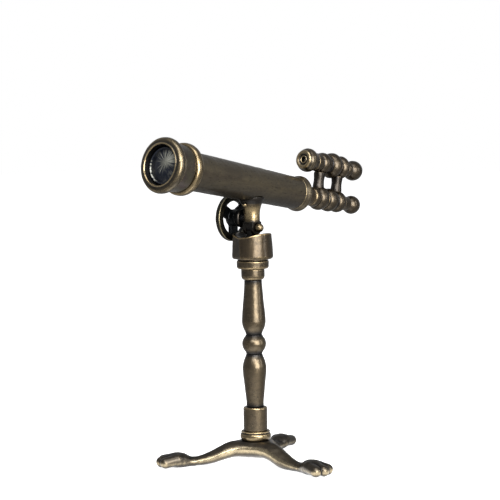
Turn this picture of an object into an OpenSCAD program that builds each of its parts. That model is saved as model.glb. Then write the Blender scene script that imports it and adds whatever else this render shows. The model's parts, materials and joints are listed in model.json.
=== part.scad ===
// Antique brass miniature telescope: a cast tripod with paw feet, a turned
// column on a tie rod, a swivelling head, and a tilting tube with a finder.
// Millimetres. Z is up, the origin is on the column's axis at floor level,
// and the telescope looks towards -Y. The tilt pin lies along X.

/* [Tripod] */
// From the column's axis to the middle of a paw
paw_reach = 22.2; // [20:0.1:24]
// Height of a paw
paw_h = 4; // [3.6:0.1:4.4]
// Half-width of a leg at its ankle
ankle_r = 1.25; // [1:0.05:1.4]
// Underside of the tripod's middle, above the floor
arch_h = 2.4; // [2.3:0.05:2.6]
// Top of the tripod's middle
hub_top = 6.25; // [6:0.05:6.5]
// Radius of the tripod's middle
hub_r = 4.6; // [4:0.1:5]

/* [Column] */
// Height of the beaded collar on the tripod
collar_h = 2.4; // [2:0.1:3]
// Radius of the collar
collar_r = 4.05; // [3.6:0.05:4.4]
// Height of the socket above the collar
socket_h = 6.4; // [5:0.1:8]
// Radius of the socket
socket_r = 3.15; // [2.8:0.05:3.5]
// Length of the lower baluster
lower_h = 14.0; // [12:0.5:18]
// Height of the ball between the balusters
knop_h = 5.1; // [4.4:0.1:6]
// Radius of the ball between the balusters
knop_r = 3.15; // [2.8:0.05:3.5]
// Length of the upper baluster
upper_h = 14.35; // [12:0.05:18]
// Widest radius of the two balusters
belly_r = 3.14; // [2.8:0.02:3.4]
// Height of the neck ring
neck_h = 2.9; // [2.4:0.1:3.4]
// Radius of the neck ring
neck_r = 3.07; // [2.8:0.01:3.3]
// Radius of the tie rod
rod_r = 0.6; // [0.5:0.05:0.7]

/* [Head] */
// Height of the swivel seat
seat_h = 2.25; // [1.8:0.05:2.6]
// Radius of the swivel seat
seat_r = 4.23; // [3.9:0.01:4.6]
// Radius of the spigot that the head turns on
spigot_r = 2.0; // [1.8:0.05:2.2]
// Height of the head at its cheeks
head_h = 7.05; // [6.8:0.05:7.2]
// Radius of the head near its foot
head_r = 5.45; // [5.2:0.05:5.6]
// Tilt pin above the cheeks
pin_rise = 1.2; // [1.1:0.05:1.4]
// Radius of the tilt pin
pin_r = 0.5; // [0.4:0.05:0.6]
// Radius of the ball on the end of the tilt pin
pin_ball_r = 1.17; // [1:0.01:1.3]

/* [Hand wheel] */
// Outer radius of the hand wheel
wheel_r = 6.25; // [6:0.05:6.6]
// Distance of the wheel's middle from the tube's upright plane
wheel_out = 6.6; // [6.5:0.1:7.4]
// Wheel's axle above the tilt pin
wheel_rise = 2.4; // [2.4:0.05:2.7]

/* [Telescope] */
// Height of the tube's axis where it crosses the column's axis
tube_z = 73.52; // [73.3:0.01:74]
// How far the telescope looks up at rest, in degrees
look_up = 10.4; // [8:0.1:12]
// Outer radius of the tube at its front end
tube_front_r = 5.05; // [5:0.01:5.1]
// Outer radius of the tube at its back end
tube_back_r = 4.3; // [4.2:0.01:4.4]
// Thickness of the tube's wall
wall = 0.6; // [0.5:0.05:0.7]
// Largest radius of the front rim
rim_r = 7.05; // [6.9:0.05:7.2]
// Radius of the recess in the front rim
recess_r = 4.95; // [4.8:0.05:5.05]
// Radius of the hood behind the rim
hood_r = 6.05; // [5.95:0.05:6.2]
// Radius of the band at the hood's back
band_r = 6.68; // [6.5:0.02:6.8]
// Largest radius of the tail cap
tail_r = 4.85; // [4.8:0.05:5]
// Travel of the draw tube
focus_travel = 4; // [2:0.5:5]
// Height of the finder's axis above the tube's axis
finder_up = 9.45; // [9.2:0.05:9.7]

/* [Hidden] */

$fn = 72;

// Colours
bronze = "#5b4a30";
dark_bronze = "#3f3423";
gold = "#8d7443";
lens_colour = "#232b3a";

// Clearances: a fit that stays put, and one that runs
snug = 0.02;
run = 0.05;

// Heights up the column
collar_z = hub_top;
socket_z = collar_z + collar_h;
lower_z = socket_z + socket_h;
knop_z = lower_z + lower_h;
upper_z = knop_z + knop_h;
neck_z = upper_z + upper_h;
seat_z = neck_z + neck_h;
thrust_z = seat_z + seat_h;
thrust_h = 0.25;
pocket_h = 1.6;
head_z = thrust_z + thrust_h;
cheek_z = head_z + head_h;
pin_z = cheek_z + pin_rise;
spigot_top = head_z + 3.4;
trough_z = cheek_z - 1.1;
wheel_z = pin_z + wheel_rise;

// Tilting foot: the head's lug stands between the two ears of the post
lug_half = 0.8;
lug_r = 1.5;
lug_neck = 1.3;
ear_out = 1.75;
ear_r = 1.85;
fork_r = 1.7;
post_r = 2.3;

// Stations along the tube, forwards of the column's axis
tube_front = 30.1;
tube_back = -18.9;
band_s = 25.3;
hood_s = 27.8;
rim_s = 32.3;
rim_front = 35.0;
tail_s = -17.6;
tail_end = -20.3;
socket_end = -24.3;
body_front = -24.5;
body_back = -30.2;
barrel_back = -38.2;
ball_s = -42.9;
ball_r = 2.56;
finder_mouth = -19.9;
finder_body_s = -24.6;
finder_barrel_s = -34.3;
finder_barrel_back = -39.8;
finder_ball_s = -42.1;
finder_ball_r = 2.78;
post_front_s = -27.7;
post_back_s = -35.5;
finder_post_r = 1.6;
draw_r = 1.8;

// ---- outlines ----

// Cosine ease from a to b
function ease(a, b, t) = a + (b - a) * (1 - cos(180 * t)) / 2;

// A soft curve through [height, radius] keys, as [radius, height] points
function soft(keys, steps = 6) = concat(
    [for (i = [0 : len(keys) - 2], j = [0 : steps - 1])
        let (t = j / steps)
        [ease(keys[i][1], keys[i + 1][1], t),
         keys[i][0] + (keys[i + 1][0] - keys[i][0]) * t]],
    [[keys[len(keys) - 1][1], keys[len(keys) - 1][0]]]
);

// Points round an arc
function arc(centre, r, from, to, steps = 6) =
    [for (i = [0 : steps]) let (a = from + (to - from) * i / steps)
        centre + r * [cos(a), sin(a)]];

// A crowned ring between two heights, as [radius, height] points
function crown(low, high, valley, peak, steps = 8) =
    [for (i = [0 : steps]) let (t = i / steps)
        [valley + (peak - valley) * sqrt(sin(180 * t)), low + (high - low) * t]];

// A turned piece with a bore, from an outline listed from bottom to top
module turned(outline, bore) {
    rotate_extrude()
        polygon(concat([[bore, outline[0][1]]], outline,
                       [[bore, outline[len(outline) - 1][1]]]));
}

// A ring with rounded outer edges
module ring(bore, r, low, high, edge) {
    turned(concat(arc([r - edge, low + edge], edge, -90, 0),
                  arc([r - edge, high - edge], edge, 0, 90)), bore);
}

// Moves a piece into the tube's own frame: Z forwards along the tube, Y up
module along_tube() {
    translate([0, 0, tube_z]) rotate([90 - look_up, 0, 0]) children();
}

// The finder's frame
module along_finder() {
    along_tube() translate([0, finder_up, 0]) children();
}

// A cylinder along X from x = low to x = high
module x_rod(r, low, high, z) {
    translate([low, 0, z]) rotate([0, 90, 0]) cylinder(r = r, h = high - low);
}

// Outer radius of the tapered tube at a station
function tube_r(s) = tube_back_r
    + (tube_front_r - tube_back_r) * (s - tube_back) / (tube_front - tube_back);

// ---- tripod ----

// Bearings of the three hand-set legs, counted from +X
leg_bearings = [354, 112, 231];

// A rounded bead of a leg: distance out, height of its middle, half-height, half-width
module bead(out, z, half_h, half_w) {
    translate([out, 0, z]) scale([half_w, half_w, half_h]) sphere(r = 1, $fn = 20);
}

ankle = [paw_reach - 5.4, 1.35, 1.1, ankle_r];
heel = [paw_reach - 3.8, 1.5, 1.5, 1.75];

// Beads down one leg, from the middle to the ankle
leg_beads = [
    [2.6, 4.3, 1.95, 3.0],
    [6.2, 4.0, 1.95, 2.5],
    [10.2, 2.75, 1.75, 2.0],
    [13.6, 1.75, 1.4, 1.6],
    ankle
];

module paw() {
    dome = [paw_reach - 0.3, paw_h / 2 - 0.15, paw_h / 2 + 0.15, 2.4];
    // Each toe: distance past the paw's middle, and sideways
    toes = [[2.45, -1.75], [3.05, 0], [2.45, 1.75]];
    toe_r = 1.25;
    hull() {
        bead(heel[0], heel[1], heel[2], heel[3]);
        bead(dome[0], dome[1], dome[2], dome[3]);
    }
    for (toe = toes)
        hull() {
            bead(dome[0] - 0.4, dome[1], dome[2] - 0.3, 1.3);
            translate([paw_reach + toe[0], toe[1], toe_r]) sphere(r = toe_r, $fn = 20);
        }
}

module leg() {
    for (i = [0 : len(leg_beads) - 2])
        hull() {
            bead(leg_beads[i][0], leg_beads[i][1], leg_beads[i][2], leg_beads[i][3]);
            bead(leg_beads[i + 1][0], leg_beads[i + 1][1], leg_beads[i + 1][2],
                 leg_beads[i + 1][3]);
        }
    hull() {
        bead(ankle[0], ankle[1], ankle[2], ankle[3]);
        bead(heel[0], heel[1], heel[2], heel[3]);
    }
    paw();
}

module tripod_base() {
    color(bronze) difference() {
        union() {
            translate([0, 0, arch_h])
                cylinder(r1 = hub_r - 0.6, r2 = hub_r, h = hub_top - arch_h, $fn = 48);
            for (bearing = leg_bearings) rotate([0, 0, bearing]) leg();
        }
        translate([0, 0, -1]) cylinder(r = rod_r + run, h = 12, $fn = 32);
        // Flat seat for the collar, pocket for the nut and washer, and flat soles
        translate([0, 0, hub_top]) cylinder(r = 12, h = 4, $fn = 32);
        translate([0, 0, arch_h - 4]) cylinder(r = pocket_r, h = 4 + pocket_h, $fn = 32);
        translate([-40, -40, -5]) cube([80, 80, 5]);
    }
}

pocket_r = 2.1;
washer_h = 0.35;
nut_h = 1.1;

module base_washer() {
    color(dark_bronze) translate([0, 0, arch_h + pocket_h - washer_h]) difference() {
        cylinder(r = pocket_r - 0.2, h = washer_h);
        translate([0, 0, -1]) cylinder(r = rod_r + run, h = 3);
    }
}

module base_nut() {
    color(dark_bronze) translate([0, 0, arch_h + pocket_h - washer_h - nut_h]) difference() {
        cylinder(r = pocket_r - 0.55, h = nut_h, $fn = 6);
        translate([0, 0, -1]) cylinder(r = rod_r + snug, h = 3);
    }
}

// ---- column ----

rod_low = arch_h + 0.05;

module tie_rod() {
    color(dark_bronze) translate([0, 0, rod_low])
        cylinder(r = rod_r, h = thrust_z + 0.6 - rod_low);
}

// A bead with a thin lip above it, and a seat for the socket inside the lip
module base_collar() {
    lip_r = collar_r - 0.2;
    lip_z = collar_z + collar_h;
    color(gold) turned(concat(
        [[collar_r - 0.6, collar_z], [collar_r - 0.35, collar_z + 0.25]],
        arc([collar_r - 0.7, collar_z + 1.1], 0.7, -45, 45, 5),
        [[lip_r - 0.13, collar_z + 1.95]],
        arc([lip_r - 0.15, lip_z - 0.1], 0.15, -45, 110, 4),
        [[socket_r + 0.3, lip_z - 0.05], [socket_r, lip_z]]
    ), rod_r + run);
}

// Tenon of the lower baluster
tenon_r = 1.5;
tenon_h = 1.5;

module column_socket() {
    color(bronze) difference() {
        ring(rod_r + run, socket_r, socket_z, lower_z, 0.35);
        // Pocket for the lower baluster's tenon
        translate([0, 0, lower_z - tenon_h - 0.1]) cylinder(r = tenon_r + snug, h = 3);
    }
}

module lower_baluster() {
    neck = 2.18;
    color(bronze) union() {
        turned(soft([
            [lower_z, 2.3], [lower_z + 1.2, 2.3], [lower_z + 5.2, 2.68],
            [lower_z + 10.2, belly_r], [lower_z + 12.4, 2.72], [knop_z, neck]
        ]), rod_r + run);
        turned([[tenon_r, lower_z - tenon_h], [tenon_r, lower_z + 0.4]], rod_r + run);
    }
}

module ball_knop() {
    color(gold) turned(soft([
        [knop_z, 2.2], [knop_z + 0.8, 2.5], [knop_z + 2.7, knop_r],
        [knop_z + 4.2, 2.75], [upper_z, 2.2]
    ]), rod_r + run);
}

module upper_baluster() {
    color(bronze) turned(soft([
        [upper_z, 2.2], [upper_z + 1.0, 2.45], [upper_z + 2.1, 2.9],
        [upper_z + 3.6, belly_r], [upper_z + 9.6, 2.63], [upper_z + 13.4, 2.33],
        [neck_z, 2.33]
    ]), rod_r + run);
}

module neck_ring() {
    color(bronze) ring(rod_r + run, neck_r, neck_z, seat_z, 0.6);
}

// Fixed seat with the spigot that the head turns on
module swivel_seat() {
    groove_half = 0.5;
    groove_r = spigot_r - 0.5;
    color(bronze) difference() {
        turned(concat(
            arc([seat_r - 0.4, seat_z + 0.4], 0.4, -90, 0, 4),
            [[seat_r, thrust_z - 0.25], [seat_r - 0.25, thrust_z],
             [spigot_r, thrust_z],
             [spigot_r, screw_z - groove_half], [groove_r, screw_z - groove_half],
             [groove_r, screw_z + groove_half], [spigot_r, screw_z + groove_half],
             [spigot_r, spigot_top]]
        ), 0);
        // Tapped hole for the tie rod
        translate([0, 0, seat_z - 1]) cylinder(r = rod_r + snug, h = 1.7 + seat_h);
    }
}

module thrust_washer() {
    color(gold) translate([0, 0, thrust_z]) difference() {
        cylinder(r = seat_r - 0.35, h = thrust_h);
        translate([0, 0, -1]) cylinder(r = spigot_r + run, h = 3);
    }
}

// ---- swivelling head ----

// Swivel screw: its thread, its head and its height, which the spigot's groove shares
screw_r = 0.5;
swivel_head_r = 0.85;
screw_z = head_z + 1.9;

module swivel_head() {
    flat_in = 4.85;
    trough_r = 10;
    color(bronze) difference() {
        union() {
            turned(concat(
                arc([head_r - 0.7, head_z + 0.7], 0.7, -90, 0, 4),
                [[head_r - 0.35, cheek_z - 0.8]],
                arc([head_r - 1.15, cheek_z - 0.8], 0.8, 0, 90, 5)
            ), 0);
            // Lug that carries the tilt pin
            x_rod(lug_r, -lug_half, lug_half, pin_z);
            translate([-lug_half, -lug_neck, trough_z - 1])
                cube([2 * lug_half, 2 * lug_neck, pin_z - trough_z + 1]);
        }
        // Trough between the cheeks, on both sides of the lug
        difference() {
            translate([0, 10, trough_z + trough_r]) rotate([90, 0, 0])
                cylinder(r = trough_r, h = 20);
            translate([-lug_half, -lug_neck, trough_z - 2])
                cube([2 * lug_half, 2 * lug_neck, pin_z - trough_z + 2]);
            x_rod(lug_r, -lug_half, lug_half, pin_z);
        }
        // Socket that turns on the spigot
        translate([0, 0, head_z - 1]) cylinder(r = spigot_r + run, h = spigot_top - head_z + 1.2);
        // Two spanner flats
        for (side = [247, 67]) rotate([0, 0, side])
            translate([flat_in, -10, head_z - 1]) cube([5, 20, head_h + 2]);
        // Tapped hole for the swivel screw, and the bore for the tilt pin
        translate([0, 0, screw_z]) rotate([-90, 0, 0]) cylinder(r = screw_r + snug, h = 8);
        translate([0, head_r - 1.1, screw_z]) rotate([-90, 0, 0])
            cylinder(r = swivel_head_r + 0.1, h = 3);
        x_rod(pin_r + run, -3, 3, pin_z);
    }
}

// Grub screw whose tip runs in the spigot's groove and keeps the head on
module swivel_screw() {
    color(dark_bronze) difference() {
        union() {
            translate([0, spigot_r - 0.4, screw_z]) rotate([-90, 0, 0])
                cylinder(r = 0.4, h = 1);
            translate([0, spigot_r + 0.15, screw_z]) rotate([-90, 0, 0])
                cylinder(r = screw_r, h = head_r - spigot_r - 1.2);
            translate([0, head_r - 1.08, screw_z]) rotate([-90, 0, 0])
                cylinder(r = swivel_head_r, h = 0.55);
        }
        translate([-1, head_r - 0.8, screw_z - 0.12]) cube([2, 1, 0.24]);
    }
}

// ---- tilting foot ----

module tilt_pin() {
    ball_x = ear_out + 0.7;
    color(gold) union() {
        x_rod(pin_r, -ear_out - 0.75, ball_x, pin_z);
        difference() {
            translate([ball_x, 0, pin_z]) sphere(r = pin_ball_r);
            x_rod(3, -ear_out, ear_out + snug, pin_z);
        }
    }
}

module pin_nut() {
    color(dark_bronze) difference() {
        translate([-ear_out - 0.72, 0, pin_z]) rotate([0, 90, 0])
            cylinder(r = 1.05, h = 0.7, $fn = 6);
        x_rod(pin_r + snug, -5, 0, pin_z);
    }
}

// Flared post with two ears, cut to the underside of the tube
module saddle_post() {
    top = tube_z - 3;
    flare = [
        [pin_z + 1.25, post_r - 0.15], [pin_z + 4.2, post_r], [pin_z + 5.9, 2.75],
        [pin_z + 7.2, 3.5], [top, 4.15]
    ];
    color(gold) difference() {
        union() {
            turned(soft(flare, 5), 0);
            difference() {
                x_rod(ear_r, -ear_out, ear_out, pin_z);
                x_rod(3, -3, -ear_out, pin_z);
            }
            translate([-ear_out, -ear_r, pin_z]) cube([2 * ear_out, 2 * ear_r, 1.5]);
        }
        // Slot for the head's lug
        x_rod(fork_r, -lug_half - run, lug_half + run, pin_z);
        translate([-lug_half - run, -4, pin_z - 4]) cube([2 * (lug_half + run), 8, 4]);
        translate([-lug_half - run, -fork_r, pin_z - 1])
            cube([2 * (lug_half + run), 2 * fork_r, 1]);
        // Bores for the tilt pin and for the wheel's axle
        x_rod(pin_r + snug, -3, 3, pin_z);
        x_rod(axle_r + snug, -4, -0.9, wheel_z);
        // Bed of the tube, and the two saddle screws
        along_tube() translate([0, 0, -20])
            cylinder(r1 = tube_r(-20) + snug, r2 = tube_r(20) + snug, h = 40);
        saddle_screw_holes(screw_shank + snug);
        saddle_screw_holes(screw_head_r + run, screw_seat);
    }
}

saddle_screw_gap = 2.6;
screw_shank = 0.35;
screw_head_r = 0.74;
screw_seat = tube_r(0) + 1.0;
bed_s = -0.85;

// Holes for the two saddle screws, from a distance off the tube's axis
module saddle_screw_holes(r, from = 0) {
    for (side = [-1, 1]) along_tube()
        translate([0, 0, bed_s + side * saddle_screw_gap]) rotate([90, 0, 0])
            translate([0, 0, from]) cylinder(r = r, h = 8 - from);
}

// Two domed screws up through the saddle's flare into the tube
module saddle_screws() {
    color(gold) for (side = [-1, 1]) along_tube()
        translate([0, 0, bed_s + side * saddle_screw_gap]) rotate([90, 0, 0]) {
            top = tube_r(0) - wall;
            translate([0, 0, top])
                cylinder(r = screw_shank, h = screw_seat - top + 0.1);
            intersection() {
                translate([0, 0, screw_seat]) sphere(r = screw_head_r);
                translate([0, 0, screw_seat]) cylinder(r = 2, h = 2);
            }
        }
}

// ---- hand wheel ----

axle_r = 0.5;
axle_head_r = 1.05;
boss_in = 2.75;
boss_out = 4.5;
boss_r = 2.45;
boss_neck_r = 1.25;
rim_wide = 1.4;
rim_deep = 1.9;
spoke_wide = 3.0;
spoke_thick = 1.0;
spoke_turn = 120;
wheel_hub_r = 2.2;
hub_half = 0.8;
hub_out = wheel_out + hub_half;

module wheel_boss() {
    color(dark_bronze) difference() {
        union() {
            translate([-boss_out, 0, wheel_z]) rotate([0, 90, 0])
                ring(axle_r + snug, boss_r, 0, boss_out - boss_in, 0.3);
            x_rod(boss_neck_r, -boss_in - 0.2, -post_r + 0.4, wheel_z);
        }
        x_rod(axle_r + snug, -6, 0, wheel_z);
        // Seat against the round post
        cylinder(r = post_r + snug, h = 100);
    }
}

module hand_wheel() {
    color(bronze) translate([-wheel_out, 0, wheel_z]) rotate([0, 90, 0]) difference() {
        union() {
            // Rim
            translate([0, 0, -rim_wide / 2])
                ring(wheel_r - rim_deep, wheel_r, 0, rim_wide, 0.4);
            // Hub, as long as it takes to reach the boss
            translate([0, 0, -hub_half])
                ring(axle_r, wheel_hub_r, 0, hub_out - boss_out - run, 0.25);
            // Three spokes
            for (i = [0 : 2]) rotate([0, 0, spoke_turn + 120 * i])
                translate([1.0, -spoke_wide / 2, -spoke_thick / 2])
                    cube([wheel_r - rim_deep - 0.7, spoke_wide, spoke_thick]);
        }
        translate([0, 0, -5]) cylinder(r = axle_r + run, h = 12);
    }
}

// Shouldered screw that the wheel turns on
module wheel_axle() {
    color(gold) union() {
        x_rod(axle_r, -hub_out - 0.4, -1.0, wheel_z);
        difference() {
            translate([-hub_out - run, 0, wheel_z]) sphere(r = axle_head_r);
            x_rod(3, -hub_out - run, 0, wheel_z);
        }
    }
}

// ---- tube ----

module main_tube() {
    length = tube_front - tube_back;
    color(bronze) difference() {
        along_tube() translate([0, 0, tube_back]) difference() {
            cylinder(r1 = tube_back_r, r2 = tube_front_r, h = length);
            translate([0, 0, -0.01])
                cylinder(r1 = tube_back_r - wall, r2 = tube_front_r - wall, h = length + 0.02);
        }
        saddle_screw_holes(screw_shank + snug);
    }
}

// Bore that a ring needs to slide on to the tapered tube
tube_bore = tube_front_r + snug;

module hood_band() {
    color(gold) along_tube() ring(tube_bore, band_r, band_s, hood_s, 0.75);
}

module hood_sleeve() {
    color(bronze) along_tube() ring(tube_bore, hood_r, hood_s, rim_s, 0.12);
}

// Thick rounded rim with the recess for the objective
module front_rim() {
    inner = recess_r - 0.25;
    color(gold) along_tube() turned(concat(
        [[hood_r - 0.1, rim_s]],
        arc([rim_r - 0.95, rim_s + 1.35], 0.95, -70, 62),
        [[recess_r + 0.6, rim_front - 0.15]],
        arc([recess_r + 0.25, rim_front - 0.3], 0.3, 80, 180, 4),
        [[inner, rim_front - 1.9], [inner, rim_s + 0.1]]
    ), inner);
}

module objective_cell() {
    color(dark_bronze) along_tube()
        ring(3.9, recess_r - 0.27, tube_front + 0.1, rim_s + 0.1, 0.1);
}

// Front lens: a domed face on a short barrel
module objective_lens() {
    lens_r = recess_r - 0.28;
    dome = 1.0;
    back = rim_s + 0.12;
    edge = back + 0.7;
    sphere_r = (lens_r * lens_r + dome * dome) / (2 * dome);
    half = asin(lens_r / sphere_r);
    color(lens_colour) along_tube() rotate_extrude()
        polygon(concat([[0, back], [lens_r, back]],
                       arc([0, edge + dome - sphere_r], sphere_r, 90 - half, 90, 8)));
}

// Lip and back wall at the tube's end
module tail_cap() {
    seat = tube_r(tail_s) + snug;
    color(bronze) along_tube() difference() {
        rotate_extrude() polygon(concat(
            [[2.0, tail_end]],
            arc([tail_r - 0.75, tail_end + 0.75], 0.75, -90, 20),
            [[seat + 0.05, tail_s], [2.0, tail_s]]
        ));
        translate([0, 0, tube_back - snug]) cylinder(r = seat, h = 5);
        translate([0, 0, tail_end - 1]) cylinder(r = neck_bore, h = 5);
    }
}

// Neck through the tail cap that guides the draw tube, with a flange inside the cap
guide_lip = 0.6;
neck_bore = 2.12;

module tail_socket() {
    flange = tube_back - snug;
    through = neck_bore - snug;
    color(bronze) along_tube() rotate_extrude() polygon([
        [draw_r + run, socket_end], [2.35, socket_end], [2.5, socket_end + 0.2],
        [2.45, tail_end - 0.5], [2.75, tail_end - snug], [through, tail_end - snug],
        [through, flange], [2.8, flange], [2.8, flange + guide_lip],
        [draw_r + run, flange + guide_lip]
    ]);
}

// ---- draw tube, eyepiece and finder ----

// Long enough to stay in its guide at the end of its travel
module draw_tube() {
    front = tube_back + guide_lip + focus_travel + 0.3;
    color(gold) along_tube() translate([0, 0, body_back]) difference() {
        cylinder(r = draw_r, h = front - body_back);
        translate([0, 0, -1]) cylinder(r = draw_r - 0.4, h = 30);
    }
}

// Sockets for the finder's two posts
post_low = 2.4;
module post_seats(up) {
    for (s = [post_front_s, post_back_s]) along_tube()
        translate([0, up, s]) rotate([-90, 0, 0])
            cylinder(r = finder_post_r + snug, h = finder_up - 2 * up);
}

module eyepiece_body() {
    color(bronze) difference() {
        along_tube() turned(concat(
            crown(body_back, body_back + 3.8, 2.6, 3.33),
            [[2.75, body_front - 1.6], [2.7, body_front - 0.3], [2.45, body_front]]
        ), draw_r + snug);
        post_seats(post_low);
    }
}

module eyepiece_barrel() {
    neck = 1.95;
    front = body_back - snug;
    color(bronze) difference() {
        along_tube() turned(concat(
            [[neck, barrel_back - 2.4], [neck, barrel_back - 0.4], [2.4, barrel_back]],
            crown(barrel_back + 0.3, barrel_back + 3.5, 2.45, 2.95),
            crown(barrel_back + 3.9, front - 0.3, 2.55, 3.2),
            [[2.4, front]]
        ), 1.3);
        post_seats(post_low);
    }
}

module eyepiece_ball() {
    color(bronze) along_tube() difference() {
        translate([0, 0, ball_s]) sphere(r = ball_r);
        translate([0, 0, barrel_back - 2.4 - snug]) cylinder(r = 3, h = 5);
        translate([0, 0, ball_s - 4]) cylinder(r = 0.95, h = 8);
        translate([0, 0, ball_s - 0.4]) cylinder(r = 1.35, h = 8);
    }
}

module eye_lens() {
    color(lens_colour) along_tube() translate([0, 0, ball_s - 0.38])
        cylinder(r = 1.33, h = 0.7);
}

// Two round posts that carry the finder
module finder_posts() {
    low = post_low + 0.02;
    color(gold) for (s = [post_front_s, post_back_s]) along_tube()
        translate([0, low, s]) rotate([-90, 0, 0])
            cylinder(r = finder_post_r, h = finder_up - 2 * low);
}

finder_bore = 1.2;
mouth_r = 1.45;

module finder_bell() {
    lens_seat = finder_mouth - 1.6;
    color(gold) along_finder() rotate_extrude() polygon(concat(
        [[finder_bore, finder_body_s + snug], [2.45, finder_body_s + snug]],
        [[2.65, finder_body_s + 0.9]],
        arc([2.1, finder_mouth - 1.9], 1.15, -50, 60, 6),
        [[2.45, finder_mouth - 0.2]],
        arc([mouth_r + 0.3, finder_mouth - 0.3], 0.3, 60, 180, 4),
        [[mouth_r, lens_seat], [finder_bore, lens_seat]]
    ));
}

module finder_objective() {
    back = finder_mouth - 1.6 + snug;
    lens_r = mouth_r - snug;
    sphere_r = 3;
    half = asin(lens_r / sphere_r);
    color(lens_colour) along_finder() rotate_extrude()
        polygon(concat([[0, back], [lens_r, back]],
                       arc([0, back + 0.3 - sphere_r * cos(half)], sphere_r,
                           90 - half, 90, 6)));
}

module finder_body() {
    back = finder_barrel_s + snug;
    color(bronze) difference() {
        along_finder() turned(concat(
            crown(back, back + 3.9, 2.6, 3.5),
            crown(back + 4.1, finder_body_s - 1.8, 2.55, 2.95),
            [[2.5, finder_body_s - 1.6], [2.45, finder_body_s]]
        ), finder_bore);
        post_seats(post_low);
    }
}

module finder_barrel() {
    color(bronze) difference() {
        along_finder() turned(concat(
            crown(finder_barrel_back, finder_barrel_back + 1.9, 1.9, 2.3),
            crown(finder_barrel_back + 2.1, finder_barrel_s - 0.1, 2.45, 3.2),
            [[2.5, finder_barrel_s]]
        ), finder_bore);
        post_seats(post_low);
    }
}

module finder_ball() {
    color(bronze) along_finder() difference() {
        translate([0, 0, finder_ball_s]) sphere(r = finder_ball_r);
        translate([0, 0, finder_barrel_back - snug]) cylinder(r = 3, h = 5);
        translate([0, 0, finder_ball_s - 4]) cylinder(r = 0.9, h = 8);
        translate([0, 0, finder_ball_s - 0.4]) cylinder(r = 1.3, h = 8);
    }
}

module finder_eye_lens() {
    color(lens_colour) along_finder() translate([0, 0, finder_ball_s - 0.38])
        cylinder(r = 1.28, h = 0.7);
}

tripod_base();
base_washer();
base_nut();
tie_rod();
base_collar();
column_socket();
lower_baluster();
ball_knop();
upper_baluster();
neck_ring();
swivel_seat();
thrust_washer();
swivel_head();
swivel_screw();
tilt_pin();
pin_nut();
saddle_post();
saddle_screws();
wheel_boss();
hand_wheel();
wheel_axle();
main_tube();
hood_band();
hood_sleeve();
front_rim();
objective_cell();
objective_lens();
tail_cap();
tail_socket();
draw_tube();
eyepiece_body();
eyepiece_barrel();
eyepiece_ball();
eye_lens();
finder_posts();
finder_bell();
finder_objective();
finder_body();
finder_barrel();
finder_ball();
finder_eye_lens();
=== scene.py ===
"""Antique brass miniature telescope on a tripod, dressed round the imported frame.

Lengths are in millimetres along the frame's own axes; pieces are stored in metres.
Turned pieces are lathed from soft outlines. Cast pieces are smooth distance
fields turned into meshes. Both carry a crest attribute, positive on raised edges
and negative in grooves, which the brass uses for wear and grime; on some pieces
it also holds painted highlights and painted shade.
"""
import json
import math

import bpy
import numpy as np
from mathutils import Matrix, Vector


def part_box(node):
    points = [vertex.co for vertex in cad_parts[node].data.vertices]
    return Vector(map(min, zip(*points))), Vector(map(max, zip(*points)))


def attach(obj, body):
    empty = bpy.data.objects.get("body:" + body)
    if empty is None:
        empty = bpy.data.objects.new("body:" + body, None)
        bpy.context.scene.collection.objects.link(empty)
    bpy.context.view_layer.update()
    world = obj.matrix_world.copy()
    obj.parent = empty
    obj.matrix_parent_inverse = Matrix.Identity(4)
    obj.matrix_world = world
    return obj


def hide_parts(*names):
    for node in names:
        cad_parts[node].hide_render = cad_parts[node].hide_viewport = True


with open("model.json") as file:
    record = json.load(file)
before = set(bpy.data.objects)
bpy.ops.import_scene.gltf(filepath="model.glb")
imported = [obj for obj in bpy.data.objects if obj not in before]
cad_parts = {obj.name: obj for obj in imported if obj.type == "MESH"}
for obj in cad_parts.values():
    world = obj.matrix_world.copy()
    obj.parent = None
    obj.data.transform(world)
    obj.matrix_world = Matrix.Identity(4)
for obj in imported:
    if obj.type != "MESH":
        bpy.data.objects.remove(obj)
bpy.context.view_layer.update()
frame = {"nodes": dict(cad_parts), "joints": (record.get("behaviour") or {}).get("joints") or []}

MM = 0.001
FULL_TURN = 2 * math.pi

# How far the tube looks up at rest, and its axis's height above the column's middle
LOOK_UP = math.radians(10.4)
TUBE_Z = 73.52
# The tube's ends as stations forward along its axis, and its outer radii there
TUBE_BACK, TUBE_FRONT = -18.9, 30.1
TUBE_R_BACK, TUBE_R_FRONT = 4.3, 5.05
# Distance from the tube's axis to the finder's
FINDER_UP = 9.45
# Clearance round the rod that ties the column together
ROD_BORE = 0.7


def heights(node):
    """Lowest and highest z of a CAD node, in mm."""
    low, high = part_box(node)
    return low.z / MM, high.z / MM


def joint_height(name):
    """Height of a hinge's centre, in mm."""
    return next(j["pos_m"][2] for j in frame["joints"] if j["name"] == name) / MM


PIN_Z = joint_height("altitude_tilt")
WHEEL_Z = joint_height("wheel_spin")
TRIPOD_TOP = heights("tripod_base")[1]

# ---- places: the third axis is the piece's own axis ----

UPRIGHT = np.eye(4)
ALONG_TUBE = np.array([
    [1, 0, 0, 0],
    [0, math.sin(LOOK_UP), -math.cos(LOOK_UP), 0],
    [0, math.cos(LOOK_UP), math.sin(LOOK_UP), TUBE_Z],
    [0, 0, 0, 1],
])
ALONG_FINDER = ALONG_TUBE.copy()
ALONG_FINDER[:3, 3] += FINDER_UP * ALONG_TUBE[:3, 1]


def along_x(z):
    """A frame whose own axis runs along -X at height z."""
    return np.array([[0, 0, -1, 0], [0, 1, 0, 0], [1, 0, 0, z], [0, 0, 0, 1]], float)


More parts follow.
